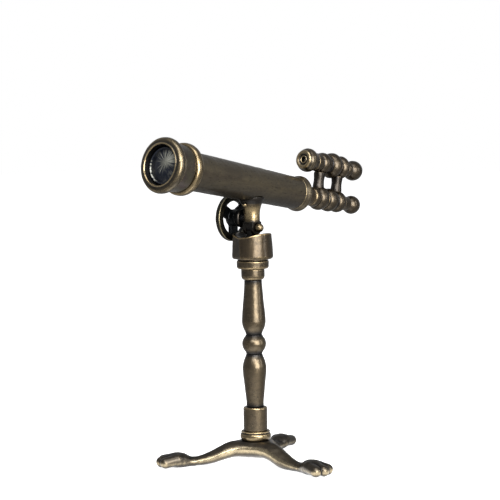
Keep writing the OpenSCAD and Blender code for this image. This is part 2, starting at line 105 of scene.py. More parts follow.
def across_tube(station, side, start=0.0):
    """A place on the tube whose own axis runs up (side 1) or down (side -1) from it."""
    axis, forward = side * ALONG_TUBE[:3, 1], ALONG_TUBE[:3, 2]
    place = ALONG_TUBE.copy()
    place[:3, 0] = np.cross(forward, axis)
    place[:3, 1] = forward
    place[:3, 2] = axis
    place[:3, 3] += forward * station + axis * start
    return place


def to_world(points, place):
    """Points of a place in the frame's axes."""
    return points @ place[:3, :3].T + place[:3, 3]


def to_local(points, place):
    """Points of the frame in a place's own axes."""
    return (points - place[:3, 3]) @ place[:3, :3]


# ---- irregularity ----


def waves(points, size, seed, count=14):
    """A smooth random field of about -1 to 1 whose bumps are about size across."""
    rng = np.random.default_rng(seed)
    total = np.zeros(len(points))
    for _ in range(count):
        direction = rng.normal(size=3)
        direction *= (0.6 + 0.8 * rng.random()) * math.pi / size / np.linalg.norm(direction)
        total += np.sin(points @ direction + rng.random() * 2 * math.pi)
    return total / math.sqrt(count)


def hollows(points, name, broad, fine, fine_share, level):
    """Shallow hollows of a cast skin: lumps of two sizes, cut off above a level."""
    seed = sum(map(ord, name))
    lumps = 0.7 * waves(points, broad, seed) + fine_share * waves(points, fine, seed + 1)
    return np.minimum(lumps - level, 0)


# ---- making pieces ----


def add_piece(name, body, node, material, points, faces, crest_and_painted_light, place):
    """A mesh piece from points in mm, riding on a body and standing for a CAD node."""
    mesh = bpy.data.meshes.new(name)
    mesh.from_pydata((to_world(points, place) * MM).tolist(), [], faces)
    mesh.validate()
    # Crests, and on some pieces painted highlights and painted shade
    attribute = mesh.attributes.new("crest_and_painted_light", "FLOAT", "POINT")
    attribute.data.foreach_set("value", np.clip(crest_and_painted_light, -1, 1).astype(np.float32))
    mesh.shade_smooth()
    mesh.update()
    mesh.materials.append(material)
    piece = bpy.data.objects.new(name, mesh)
    bpy.context.scene.collection.objects.link(piece)
    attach(piece, body)
    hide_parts(node)


def resample(points, gap):
    """Points at equal distances along a polyline."""
    steps = np.linalg.norm(np.diff(points, axis=0), axis=1)
    travelled = np.concatenate([[0], np.cumsum(steps)])
    count = max(int(travelled[-1] / gap), 4)
    at = np.linspace(0, travelled[-1], count + 1)
    return np.stack([np.interp(at, travelled, points[:, i]) for i in range(2)], 1)


def soften(points, gap, softness):
    """Rounds a polyline's corners by about softness; its ends stay."""
    sigma = max(softness / gap, 0.3)
    reach = int(4 * sigma) + 1
    kernel = np.exp(-0.5 * (np.arange(-reach, reach + 1) / sigma) ** 2)
    kernel /= kernel.sum()
    start = 2 * points[0] - points[reach:0:-1]
    end = 2 * points[-1] - points[-2 : -reach - 2 : -1]
    padded = np.concatenate([start, points, end])
    soft = np.stack([np.convolve(padded[:, i], kernel, "valid") for i in range(2)], 1)
    soft[0], soft[-1] = points[0], points[-1]
    return soft


def turning(points, gap, window):
    """Signed bending per mm along a polyline: positive where it bulges outwards."""
    reach = max(int(window / gap), 1)
    padded = np.concatenate(
        [np.repeat(points[:1], reach, 0), points, np.repeat(points[-1:], reach, 0)]
    )
    before, after = padded[: -2 * reach], padded[2 * reach :]
    ahead, behind = after - points, points - before
    cross = behind[:, 0] * ahead[:, 1] - behind[:, 1] * ahead[:, 0]
    dot = (behind * ahead).sum(1)
    return np.arctan2(cross, dot) / (reach * gap)


def spin(line, segments, hollow):
    """Points and faces of a line of (radius, station) turned round the axis.

    A hollow line closes on itself through its bore. A solid one starts and ends
    on the axis, where a single point closes each end.
    """
    rings = line if hollow else line[1:-1]
    turn = np.arange(segments) * FULL_TURN / segments
    points = np.empty((len(rings), segments, 3))
    points[:, :, 0] = rings[:, :1] * np.cos(turn)
    points[:, :, 1] = rings[:, :1] * np.sin(turn)
    points[:, :, 2] = rings[:, 1:]
    points = points.reshape(-1, 3)
    faces = []
    for row in range(len(rings) if hollow else len(rings) - 1):
        here, there = row * segments, (row + 1) % len(rings) * segments
        for k in range(segments):
            n = (k + 1) % segments
            faces.append((here + k, here + n, there + n, there + k))
    if not hollow:
        last, bottom, top = len(points) - segments, len(points), len(points) + 1
        for k in range(segments):
            n = (k + 1) % segments
            faces += [(bottom, n, k), (top, last + k, last + n)]
        points = np.concatenate([points, [[0, 0, line[0, 1]], [0, 0, line[-1, 1]]]])
    return points, faces


def lathe(name, body, node, slot, material, place, outline, bore=0.0, gap=0.12, softness=0.12,
          segments=112, rough=0.018, window=0.3, dark_inside=0.0, necks=None, paint=None):
    """A turned piece whose outline lists (station, radius) with rising stations.

    gap is the distance between the line's points and softness how far its corners
    are rounded. rough is the skin's unevenness, and window the length over which
    bending is read for wear. Radii below the shaded radius get painted shade, as deep
    in a recess, necks is how far darkening reaches in from both ends, and paint works
    out the whole attribute.
    """
    low, high = outline[0][0], outline[-1][0]
    line = np.array([(bore, low)] + [(r, s) for s, r in outline] + [(bore, high)], float)
    line = soften(resample(line, gap), gap, softness)
    # A bend of this many radians per mm counts as a full crest
    full_bend = 2.6
    crest_and_painted_light = turning(line, gap, window) / full_bend
    # Painted shade inside the shaded radius, as deep in a recess
    crest_and_painted_light[line[:, 0] < dark_inside] = -1
    if bore > 0:
        count = max(int((high - low) / 1.5), 2)
        wall = np.linspace(high, low, count + 1)[1:-1]
        line = np.concatenate([line, np.stack([np.full(count - 1, bore), wall], 1)])
        crest_and_painted_light = np.repeat(np.append(crest_and_painted_light, np.zeros(count - 1)), segments)
    else:
        crest_and_painted_light = np.append(np.repeat(crest_and_painted_light[1:-1], segments), [0, 0])
    points, faces = spin(line, segments, bore > 0)
    if rough:
        radial = points * (1, 1, 0)
        radius = np.linalg.norm(radial, axis=1)
        depth = rough * hollows(points, name, 2.2, 0.8, 0.5, 0.6) * np.minimum(radius, 1)
        points += radial * (depth / np.maximum(radius, 1e-6))[:, None]
    if necks:
        from_end = np.minimum(points[:, 2] - low, high - points[:, 2])
        crest_and_painted_light = np.minimum(crest_and_painted_light, from_end / necks - 0.9)
    if paint:
        crest_and_painted_light = paint(points)
    add_piece(name, body, node, material, points, faces, crest_and_painted_light, place)


# ---- distance fields ----


def smooth_min(a, b, k):
    """The lower of two distances, blended over a width k."""
    h = np.clip(0.5 + 0.5 * (b - a) / k, 0, 1)
    return b + (a - b) * h - k * h * (1 - h)


def smooth_max(a, b, k):
    """The higher of two distances, blended over a width k."""
    return -smooth_min(-a, -b, k)


def ball_field(p, centre, radii):
    """Near distance to an ellipsoid."""
    q = (p - np.array(centre)) / np.array(radii)
    k0 = np.linalg.norm(q, axis=1)
    k1 = np.linalg.norm(q / np.array(radii), axis=1)
    return k0 * (k0 - 1) / np.maximum(k1, 1e-9)


def limb_field(p, start, end, r_start, r_end, squash=(1, 1, 1)):
    """A tapered rod with round ends, optionally stretched along the axes."""
    stretch = np.array(squash, float)
    q, a, b = p / stretch, np.array(start) / stretch, np.array(end) / stretch
    line = b - a
    t = np.clip(((q - a) @ line) / (line @ line), 0, 1)
    gap = np.linalg.norm(q - a - t[:, None] * line, axis=1)
    return (gap - (r_start + (r_end - r_start) * t)) * stretch.min()


def rod_field(p, axis, centre, r, half):
    """A capped cylinder along one axis."""
    q = p - np.array(centre)
    others = [i for i in range(3) if i != axis]
    side = np.hypot(q[:, others[0]], q[:, others[1]]) - r
    end = np.abs(q[:, axis]) - half
    return box_join(side, end)


def box_join(a, b):
    """Distance from two face distances of one convex shape."""
    outside = np.hypot(np.maximum(a, 0), np.maximum(b, 0))
    return outside + np.minimum(np.maximum(a, b), 0)


def block_field(p, centre, half):
    """Distance to a block from its middle and half sizes."""
    q = np.abs(p - np.array(centre)) - np.array(half)
    return np.linalg.norm(np.maximum(q, 0), axis=1) + np.minimum(q.max(1), 0)


def field_mesh(field, low, high, step):
    """Turns field(points) < 0 into a closed mesh of quads that lies on the surface."""
    low, high = np.array(low, float), np.array(high, float)
    counts = np.ceil((high - low) / step).astype(int) + 1
    value = sampled(field, low, counts, step)
    spots, number = crossed_cells(value)
    points = low + step * spots
    for _ in range(3):
        slope = gradient(field, points, step * 0.3)
        size = np.maximum((slope**2).sum(1), 0.05)
        shift = slope * (field(points) / size)[:, None]
        points -= np.clip(shift, -step, step)
    return points, surface_quads(value < 0, number)


def sampled(field, low, counts, step):
    """The field's values on a grid, worked out one sheet at a time."""
    axes = [low[i] + step * np.arange(counts[i]) for i in range(3)]
    value = np.empty(counts)
    for i in range(counts[0]):
        sheet = np.stack(np.meshgrid(axes[0][i : i + 1], axes[1], axes[2], indexing="ij"), -1)
        value[i] = field(sheet.reshape(-1, 3)).reshape(counts[1:])
    return value


def crossed_cells(value):
    """A point in each cell that the surface crosses, in grid steps, and its number.

    The point is the mean of the places where the surface crosses the cell's edges.
    """
    inside = value < 0
    cells = np.array(value.shape) - 1
    total, hits = np.zeros((*cells, 3)), np.zeros(cells)
    for axis in range(3):
        b, c = (axis + 1) % 3, (axis + 2) % 3
        for u, v in ((0, 0), (0, 1), (1, 0), (1, 1)):
            offset = np.zeros(3, int)
            offset[b], offset[c] = u, v
            ahead = offset.copy()
            ahead[axis] = 1
            here = tuple(slice(offset[i], offset[i] + cells[i]) for i in range(3))
            there = tuple(slice(ahead[i], ahead[i] + cells[i]) for i in range(3))
            crossing = inside[here] != inside[there]
            start, end = value[here][crossing], value[there][crossing]
            spot = np.tile(offset.astype(float), (len(start), 1))
            spot[:, axis] = start / (start - end)
            total[crossing] += spot
            hits[crossing] += 1
    crossed = hits > 0
    number = np.full(cells, -1)
    number[crossed] = np.arange(crossed.sum())
    corner = np.stack(np.nonzero(crossed), 1)
    return corner + total[crossed] / hits[crossed][:, None], number


def surface_quads(inside, number):
    """One quad round each grid edge that the surface crosses, facing outwards."""
    quads = []
    for axis in range(3):
        b, c = (axis + 1) % 3, (axis + 2) % 3
        first = [slice(1, -1)] * 3
        first[axis] = slice(0, -1)
        second = list(first)
        second[axis] = slice(1, None)
        change = inside[tuple(first)] != inside[tuple(second)]
        outward = inside[tuple(first)][change]
        base = np.stack(np.nonzero(change), 1)
        base[:, b] += 1
        base[:, c] += 1
        ring = []
        for u, v in ((1, 1), (0, 1), (0, 0), (1, 0)):
            cell = base.copy()
            cell[:, b] -= u
            cell[:, c] -= v
            ring.append(number[tuple(cell.T)])
        quad = np.stack(ring, 1)
        quad[~outward] = quad[~outward][:, ::-1]
        quads.append(quad)
    return np.concatenate(quads)


def gradient(field, points, small):
    """The field's slope at points, from differences a small step apart."""
    slope = np.empty_like(points)
    for i in range(3):
        shift = np.zeros(3)
        shift[i] = small
        slope[:, i] = (field(points + shift) - field(points - shift)) / (2 * small)
    return slope


def bulge(field, points, reach):
    """How strongly the surface bulges, per mm: the field's Laplacian."""
    total = -6 * field(points)
    for i in range(3):
        shift = np.zeros(3)
        shift[i] = reach
        total += field(points + shift) + field(points - shift)
    return total / reach**2


def cast(name, body, node, material, place, field, box, step, plain, spread,
         wear_and_highlight=None, painted_shade=None):
    """A cast piece from a distance field, worked out in a (low, high) box every step.

    A bulge of plain is neither raised nor sunk, and spread more is a full crest.
    Of the last two functions, the first adds wear and painted highlight at points and the second
    caps them with painted shade.
    """
    points, faces = field_mesh(field, *box, step)
    crest_and_painted_light = (bulge(field, points, 0.25) - plain) / spread
    # Wear and painted highlight go on, then painted shade caps them
    if wear_and_highlight:
        crest_and_painted_light = crest_and_painted_light + wear_and_highlight(points)
    if painted_shade:
        crest_and_painted_light = np.minimum(crest_and_painted_light, painted_shade(points))
    normal = gradient(field, points, step * 0.5)
    normal /= np.maximum(np.linalg.norm(normal, axis=1, keepdims=True), 1e-6)
    depth = 0.03 * hollows(points, name, 2.5, 0.9, 0.45, 0.8)
    points = points + normal * depth[:, None]
    add_piece(name, body, node, material, points, faces.tolist(), crest_and_painted_light, place)


# ---- materials ----


class Recipe:
    """The node tree of a material or world, with a short method for each step."""

    def __init__(self, owner):
        self.owner = owner
        owner.use_nodes = True
        owner.node_tree.nodes.clear()

    def node(self, kind, inputs=None, **settings):
        """A node whose inputs are set to values or linked to other nodes' outputs."""
        node = self.owner.node_tree.nodes.new(kind)
        for key, value in settings.items():
            setattr(node, key, value)
        for key, value in (inputs or {}).items():
            if isinstance(value, bpy.types.NodeSocket):
                self.owner.node_tree.links.new(value, node.inputs[key])
            else:
                node.inputs[key].default_value = value
        return node

    def place(self):
        return self.node("ShaderNodeTexCoord").outputs["Object"]

    def crest_and_painted_light(self):
        return self.node("ShaderNodeAttribute", attribute_name="crest_and_painted_light").outputs["Fac"]

    def noise(self, vector, size, detail=3.0, roughness=0.55):
        """Noise whose bumps are about size mm across."""
        scale = 0.5 / (size * MM)
        inputs = {"Vector": vector, "Scale": scale, "Detail": detail, "Roughness": roughness}
        return self.node("ShaderNodeTexNoise", inputs).outputs["Fac"]

    def mapped(self, value, low, high, out_low=0.0, out_high=1.0):
        """Remaps a value with clamping."""
        inputs = {"Value": value, "From Min": low, "From Max": high}
        inputs.update({"To Min": out_low, "To Max": out_high})
        return self.node("ShaderNodeMapRange", inputs).outputs["Result"]

    def maths(self, kind, a, b):
        return self.node("ShaderNodeMath", {0: a, 1: b}, operation=kind).outputs[0]

    def stirred(self, value, noise, amount):
        """A value moved up and down by noise, by half of amount each way."""
        swing = self.maths("MULTIPLY", self.maths("SUBTRACT", noise, 0.5), amount)
        return self.maths("ADD", value, swing)

    def mixed(self, factor, a, b):
        """Mixes two colours, each a socket or a tuple of red, green and blue."""
        a, b = [(*c, 1) if isinstance(c, tuple) else c for c in (a, b)]
        return self.node("ShaderNodeMix", {0: factor, 6: a, 7: b}, data_type="RGBA").outputs[2]

    def bumped(self, height, strength):
        """Normals of a bump up to 0.03 mm deep."""
        inputs = {"Height": height, "Strength": strength, "Distance": 0.03 * MM}
        return self.node("ShaderNodeBump", inputs).outputs["Normal"]

    def by_ray(self, felt, seen):
        """A shader that lights the object one way and looks another way to the camera."""
        camera_ray = self.node("ShaderNodeLightPath").outputs["Is Camera Ray"]
        inputs = {0: camera_ray, 1: felt.outputs[0], 2: seen.outputs[0]}
        return self.node("ShaderNodeMixShader", inputs)

    def finished(self, shader, output="ShaderNodeOutputMaterial"):
        self.node(output, {"Surface": shader.outputs[0]})
        return self.owner


def antique_brass(name, body, worn_and_highlight, dark, wear_from=0.1, wear_to=0.75, tint=None, matt=0.33,
                  lacquer=0.35, stretch=None):
    """Cast brass with a dark patina, worn bright on its crests and dark in its grooves, with
    painted shade where pieces meet and the painted light its attribute carries.

    wear_from and wear_to are the crests where wear starts and is complete. tint is
    the blotches' colour, matt the unworn roughness, and stretch draws the pattern out.
    """
    recipe = Recipe(bpy.data.materials.new(name))
    place = recipe.place()
    if stretch:
        mapping = recipe.node("ShaderNodeMapping", {"Vector": place, "Scale": stretch})
        place = mapping.outputs["Vector"]
    crest_and_painted_light = recipe.crest_and_painted_light()
    blotches = recipe.noise(place, 1.6)
    mottle = recipe.noise(place, 0.45)
    grain = recipe.noise(place, 0.12, 4.0, 0.65)

    # Wear on raised edges, and any painted highlight in the attribute, broken up by the blotches
    # and the grain
    wear_and_highlight = recipe.stirred(recipe.stirred(crest_and_painted_light, blotches, 0.9), grain, 0.9)
    wear_and_highlight_share = recipe.mapped(wear_and_highlight, wear_from, wear_to)

    # Grime in grooves, painted shade from the attribute, and painted shade from ambient occlusion
    # where pieces meet
    closeness = recipe.node("ShaderNodeAmbientOcclusion", {"Distance": 1.3 * MM}, samples=6)
    open_air = recipe.mapped(closeness.outputs["AO"], 0.25, 0.95)
    groove_and_shade = recipe.mapped(recipe.maths("MULTIPLY", crest_and_painted_light, -1.0), 0.05, 0.7)
    grime_and_shade = recipe.maths("MAXIMUM", groove_and_shade, recipe.maths("SUBTRACT", 1.0, open_air))

    # The skin's colour under its mottle, blotches, wear and painted highlight, grime and painted
    # shade, and pits, in that order
    tone = recipe.mixed(recipe.mapped(mottle, 0.3, 0.7), body, tuple(0.72 * c for c in body))
    tone = recipe.mixed(recipe.mapped(blotches, 0.45, 0.75, 0.0, 0.55), tone, tint or dark)
    tone = recipe.mixed(wear_and_highlight_share, tone, worn_and_highlight)
    tone = recipe.mixed(recipe.mapped(grime_and_shade, 0.0, 1.0, 0.0, 0.92), tone, dark)
    pits = recipe.maths("SUBTRACT", 1.0, recipe.mapped(grain, 0.28, 0.42))
    tone = recipe.mixed(pits, tone, tuple(0.6 * c for c in dark))

    shine = recipe.stirred(recipe.mapped(wear_and_highlight_share, 0.0, 1.0, matt, 0.24), mottle, 0.25)
    shine = recipe.maths("ADD", shine, recipe.maths("MULTIPLY", grime_and_shade, 0.18))
    height = recipe.maths("ADD", grain, recipe.maths("MULTIPLY", mottle, 1.2))
    return recipe.finished(recipe.node("ShaderNodeBsdfPrincipled", {
        "Base Color": tone, "Roughness": shine, "Normal": recipe.bumped(height, 0.5),
        "Metallic": 1.0, "Coat Weight": lacquer, "Coat Roughness": 0.22,
    }))


def dark_lens(name):
    """A dark painted dome with faint radial streaks, a painted reflection and a painted glint,
    under a clear polish.
    """
    recipe = Recipe(bpy.data.materials.new(name))
    place, streak = recipe.place(), recipe.crest_and_painted_light()
    haze = recipe.noise(place, 1.3, 4.0, 0.6)
    specks = recipe.noise(place, 0.16, 3.0, 0.7)
    # The streaks and the painted reflection turn pale
    pale = recipe.mapped(recipe.stirred(streak, haze, 1.6), 0.0, 1.3)
    tone = recipe.mixed(pale, (0.006, 0.009, 0.018), (0.3, 0.3, 0.25))
    tone = recipe.mixed(recipe.mapped(specks, 0.62, 0.75, 0.0, 0.7), tone, (0.16, 0.15, 0.12))
    # The painted glint and the brightest of the painted reflection turn near white
    tone = recipe.mixed(recipe.mapped(streak, 0.9, 2.0), tone, (0.75, 0.77, 0.8))
    return recipe.finished(recipe.node("ShaderNodeBsdfPrincipled", {
        "Base Color": tone, "Roughness": recipe.mapped(haze, 0.3, 0.7, 0.3, 0.5),
        "Normal": recipe.bumped(recipe.maths("ADD", streak, specks), 0.35),
        "Metallic": 0.55, "IOR": 1.4, "Coat Weight": 0.5, "Coat Roughness": 0.12,
    }))


# Each brass: its skin's colour, its worn colour, which also serves for painted highlight, and the
# colour of its grime and painted shade
bronze = antique_brass(
    "bronze", (0.105, 0.078, 0.048), (0.36, 0.265, 0.14), (0.009, 0.0095, 0.011)
)
gold = antique_brass(
    "gold", (0.14, 0.105, 0.058), (0.46, 0.35, 0.19), (0.010, 0.0095, 0.010)
)
column_bronze = antique_brass(
    "column_bronze", (0.13, 0.1, 0.062), (0.36, 0.27, 0.15), (0.010, 0.0105, 0.012)
)
# Its worn colour mostly shows as the painted highlight along the legs' lower flanks
leg_bronze = antique_brass(
    "leg_bronze", (0.105, 0.086, 0.06), (0.5, 0.41, 0.26), (0.010, 0.0105, 0.012)
)
tube_bronze = antique_brass(
    "tube_bronze", (0.14, 0.115, 0.074), (0.3, 0.23, 0.125), (0.012, 0.0115, 0.012),
    tint=(0.05, 0.038, 0.035), matt=0.38, stretch=(1, 0.2, 1), wear_from=0.35, wear_to=1.3,
)
sleeve_bronze = antique_brass(
    "sleeve_bronze", (0.1, 0.088, 0.058), (0.3, 0.23, 0.125), (0.011, 0.0105, 0.013),
    tint=(0.062, 0.036, 0.05), matt=0.38, wear_from=0.35, wear_to=1.3,
)
rim_gold = antique_brass(
    "rim_gold", (0.11, 0.09, 0.06), (0.43, 0.335, 0.19), (0.007, 0.008, 0.011),
    wear_from=0.25,
)
ring_bronze = antique_brass(
    "ring_bronze", (0.085, 0.066, 0.043), (0.3, 0.225, 0.125), (0.008, 0.0085, 0.011),
    wear_from=0.25, wear_to=1.0,
)
post_bronze = antique_brass(
    "post_bronze", (0.045, 0.038, 0.031), (0.2, 0.155, 0.095), (0.008, 0.0085, 0.011),
    wear_from=0.3, lacquer=0.2,
)
wheel_bronze = antique_brass(
    "wheel_bronze", (0.06, 0.056, 0.042), (0.26, 0.225, 0.14), (0.005, 0.0065, 0.009),
    wear_from=0.15, wear_to=1.0, lacquer=0.1,
)
dark_bronze = antique_brass(
    "dark_bronze", (0.022, 0.022, 0.024), (0.07, 0.06, 0.048), (0.005, 0.0055, 0.007),
    wear_from=0.4, wear_to=1.3, lacquer=0.1,
)
lens_glass = dark_lens("lens_glass")


# ---- tripod ----

# Each leg's bearing, how far it sags below the others and how much longer it is
LEGS = [
    (math.radians(352.5), 0.35, 0.6),
    (math.radians(112), 0.0, 0.0),
    (math.radians(231), 0.0, 0.0),
]
PAW_REACH = 22.2
# A leg's middle height, half-height and half-width at stations along it
LEG_KEYS = np.array([
    (0, 4.4, 2.1, 3.3), (2.6, 4.4, 2.1, 3.3), (6.2, 4.2, 2.2, 2.9), (8.4, 3.55, 2.15, 2.7),
    (10.4, 2.65, 1.85, 2.5), (13.6, 1.68, 1.48, 2.0), (PAW_REACH - 5.4, 1.25, 1.12, 1.5),
    (PAW_REACH, 1.3, 1.1, 1.5),
])
# Each toe's place to the side and how far it stands out
TOES = [(-2.0, 2.2), (0.0, 2.95), (2.0, 2.2)]


def leg_shape():
    """The leg's stations on a fine grid, and its keys there as smooth curves."""
    x = np.linspace(0, PAW_REACH, 240)
    reach, softness = 40, 1.2
    kernel = np.exp(-0.5 * (np.arange(-reach, reach + 1) * (x[1] - x[0]) / softness) ** 2)
    kernel /= kernel.sum()
    curves = []
    for kind in range(1, 4):
        straight = np.interp(x, LEG_KEYS[:, 0], LEG_KEYS[:, kind])
        curves.append(np.convolve(np.pad(straight, reach, "edge"), kernel, "valid"))
    return x, curves


LEG_X, (LEG_Z, LEG_HIGH, LEG_WIDE) = leg_shape()


def tripod_field(p):
    """The hub with its three legs, flat on top and hollow below."""
    hub = rod_field(p, 2, (0, 0, TRIPOD_TOP - 1.4), 3.4, 1.4)
    field = smooth_min(hub, ball_field(p, (0, 0, TRIPOD_TOP - 2.0), (4.6, 4.6, 1.7)), 0.8)
    for bearing, sag, longer in LEGS:
        c, s = math.cos(bearing), math.sin(bearing)
        q = np.stack([p[:, 0] * c + p[:, 1] * s, -p[:, 0] * s + p[:, 1] * c, p[:, 2]], 1)
        field = smooth_min(field, leg_field(q, sag, longer), 2.2)
    field = smooth_max(field, p[:, 2] - TRIPOD_TOP, 0.3)
    pocket = rod_field(p, 2, (0, 0, 0), 2.0, 4.0)
    field = smooth_max(field, -pocket, 0.2)
    return smooth_max(field, -p[:, 2], 0.15)


def leg_field(q, sag, longer):
    """One cabriole leg along +X with its paw."""
    x = q[:, 0]
    reach = PAW_REACH + longer
    sag = sag * np.exp(-(((x - 10.0) / 4.8) ** 2))
    high, wide = np.interp(x, LEG_X, LEG_HIGH) + 1.4 * sag, np.interp(x, LEG_X, LEG_WIDE)
    rise = q[:, 2] - np.interp(x, LEG_X, LEG_Z) + 0.8 * sag
    slope = np.interp(x, LEG_X, np.gradient(LEG_Z, LEG_X))
    upper = np.clip(rise / high, 0, 1.5)
    side = np.abs(q[:, 1])
    # The top narrows to a soft ridge
    wide = wide * (1 - 0.24 * np.minimum(upper, 1) ** 2)
    k0 = np.sqrt((rise / high) ** 2 + (side / wide) ** 2)
    k1 = np.sqrt((rise / high**2) ** 2 + (side / wide**2) ** 2)
    ridge = 0.2 * upper**2 * side / wide
    field = k0 * (k0 + ridge - 1) / np.maximum(k1, 1e-6) / np.sqrt(1 + slope**2)
    field = smooth_max(field, x - reach + 2.0, 0.5)
    field = smooth_max(field, -x, 0.5)
    return smooth_min(field, paw_field(q, reach), 0.9)


def paw_field(q, reach):
    """A heel and a dome with three toes, whose middle one ends furthest out."""
    heel = limb_field(q, (reach - 5.2, 0, 1.35), (reach - 2.9, 0, 1.7), 1.0, 1.6, (1, 1.25, 1))
    dome = ball_field(q, (reach - 1.2, 0, 1.9), (3.15, 2.7, 2.05))
    toes = None
    for side, out in TOES:
        root, tip = (reach - 1.2, side * 0.7, 2.15), (reach + out - 0.1, side, 1.58)
        toe = limb_field(q, root, tip, 1.5, 1.46)
        toes = toe if toes is None else smooth_min(toes, toe, 0.06)
    return smooth_min(smooth_min(heel, dome, 0.9), toes, 0.3)


def leg_highlight_and_shade(points):
    """Painted highlight along the legs' lower flanks, fading towards the paws, and painted shade
    on their tops.
    """
    bearings = np.array([leg[0] for leg in LEGS])
    along = points[:, :1] * np.cos(bearings) + points[:, 1:2] * np.sin(bearings)
    x = np.clip(along.max(1), 0, PAW_REACH)
    level = (points[:, 2] - np.interp(x, LEG_X, LEG_Z)) / np.interp(x, LEG_X, LEG_HIGH)
    fade = 1 - 0.6 * np.clip((x - 7.0) / 6.0, 0, 1)
    band = np.exp(-(((level + 0.05) / 0.42) ** 2))
    # Painted highlight in the band, painted shade on top
    return 0.85 * fade * band - 0.45 * np.clip(level - 0.35, 0, 0.6)


def tripod():
    low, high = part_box("tripod_base")
    margin = 0.6
    box = (
        [low.x / MM - margin, low.y / MM - margin, -margin],
        [high.x / MM + margin, high.y / MM + margin, high.z / MM + margin],
    )
    # The legs get a painted highlight low on their flanks and painted shade on top
    cast("tripod", "stand", "tripod_base", leg_bronze, UPRIGHT, tripod_field, box,
         0.2, plain=0.7, spread=2.6, wear_and_highlight=leg_highlight_and_shade)


# ---- column ----


def smooth_keys(keys, steps=8):
    """A smooth curve through (station, radius) keys, level at both ends."""
    stations, radii = np.array(keys, float).T
    slopes = np.zeros(len(keys))
    slopes[1:-1] = (radii[2:] - radii[:-2]) / (stations[2:] - stations[:-2])
    line = []
    for i in range(len(keys) - 1):
        run = stations[i + 1] - stations[i]
        for t in np.arange(steps) / steps:
            radius = (
                (2 * t**3 - 3 * t**2 + 1) * radii[i]
                + (t**3 - 2 * t**2 + t) * run * slopes[i]
                + (3 * t**2 - 2 * t**3) * radii[i + 1]
                + (t**3 - t**2) * run * slopes[i + 1]
            )
            line.append((stations[i] + t * run, radius))
    return line + [tuple(keys[-1])]


def above(low, outline):
    """An outline whose stations are counted from low."""
    return [(low + station, radius) for station, radius in outline]


def column_piece(name, node, slot, material, outline, bore=ROD_BORE, **look):
    """A turned piece of the column, bored for the tie rod unless it says otherwise."""
    lathe(name, "stand", node, slot, material, UPRIGHT, outline, bore, **look)


def column():
    low, high = heights("base_collar")
    column_piece("collar", "base_collar", "gold", gold, above(low, [
        (0, 3.4), (0.12, 3.68), (0.4, 3.9), (0.75, 4.02), (1.1, 4.05), (1.5, 4.0), (1.75, 3.88),
        (1.9, 3.7), (2.02, 3.68), (2.12, 3.8), (2.3, 3.85),
    ]) + [(high, 3.72), (high + 0.02, 3.5), (high, 3.3), (high, 3.2)], softness=0.07, gap=0.06)

    low, high = heights("column_socket")
    column_piece("socket", "column_socket", "bronze", column_bronze, [
        (low, 3.0), (low + 0.15, 3.13), (high - 0.3, 3.15), (high - 0.05, 3.0), (high, 2.5),
    ], softness=0.13)

    low, high = heights("lower_baluster")
    # Its tenon is hidden in the socket
    low += 1.5
    column_piece("baluster_low", "lower_baluster", "bronze", column_bronze, smooth_keys(
        above(low, [(0, 2.3), (1.2, 2.3), (5.2, 2.68), (10.2, 3.14), (12.4, 2.72)])
        + [(high - 0.4, 2.2), (high, 2.16)]
    ), softness=0.2, necks=1.6)

    low, high = heights("ball_knop")
    column_piece("knop", "ball_knop", "gold", column_bronze, smooth_keys(
        above(low, [(0, 2.16), (0.4, 2.22), (1.4, 2.86), (2.65, 3.15), (3.8, 2.88)])
        + [(high - 0.35, 2.24), (high, 2.16)]
    ), softness=0.15, necks=1.5)

    low, high = heights("upper_baluster")
    column_piece("baluster_high", "upper_baluster", "bronze", column_bronze, smooth_keys(
        above(low, [(0, 2.16), (0.4, 2.18), (1.1, 2.5), (2.1, 2.92), (3.6, 3.14), (9.6, 2.63)])
        + [(low + 13.4, 2.33), (high, 2.33)]
    ), softness=0.2, necks=1.6)

    low, high = heights("neck_ring")
    column_piece("neck", "neck_ring", "bronze", column_bronze, above(low, [
        (0, 2.35), (0.1, 2.6), (0.45, 2.95), (0.95, 3.07),
    ]) + [(high - 0.1, 3.07), (high, 2.9), (high, 2.5)], softness=0.1)

    low, rim = heights("swivel_seat")[0], heights("thrust_washer")[0]
    # Its spigot goes up into the head
    column_piece("seat", "swivel_seat", "bronze", column_bronze, [
        (low, 3.5), (low + 0.08, 3.9), (low + 0.4, 4.18), (rim - 0.25, 4.23), (rim, 4.0),
        (rim, 2.0), (rim + 3.5, 2.0),
    ], bore=0.0, softness=0.12)


# ---- head ----


def head_field(p):
    """The drum with its two flats, a trough across its top and the pin's lug."""
    low = heights("swivel_head")[0]
    cheek, up = PIN_Z - 1.2, p[:, 2] - low
    foot_r, flat_reach, trough_r, trough_deep = 5.47, 4.88, 10.0, 1.1
    wall = (np.hypot(p[:, 0], p[:, 1]) - (foot_r - 0.06 * up)) * 0.998
    for bearing in (247, 67):
        a = math.radians(bearing)
        flat = p[:, 0] * math.cos(a) + p[:, 1] * math.sin(a) - flat_reach + 0.02 * up
        wall = smooth_max(wall, flat, 0.12)
    drum = smooth_max(smooth_max(wall, -up, 1.0), p[:, 2] - cheek, 0.55)
    trough = np.hypot(p[:, 0], p[:, 2] - (cheek - trough_deep + trough_r)) - trough_r
    drum = smooth_max(drum, -trough, 0.4)
    lug = rod_field(p, 0, (0, 0, PIN_Z), 1.5, 0.8)
    stem = block_field(p, (0, 0, cheek - 1.0), (0.8, 1.3, PIN_Z - cheek + 1.0))
    drum = smooth_min(drum, np.minimum(lug, stem), 0.15)
    spigot_bore = rod_field(p, 2, (0, 0, low - 1), 2.06, 4.6)
    drum = smooth_max(drum, -spigot_bore, 0.05)
    screw_hole = rod_field(p, 1, (0, 5.2, low + 1.9), 0.95, 0.9)
    return smooth_max(drum, -screw_hole, 0.08)


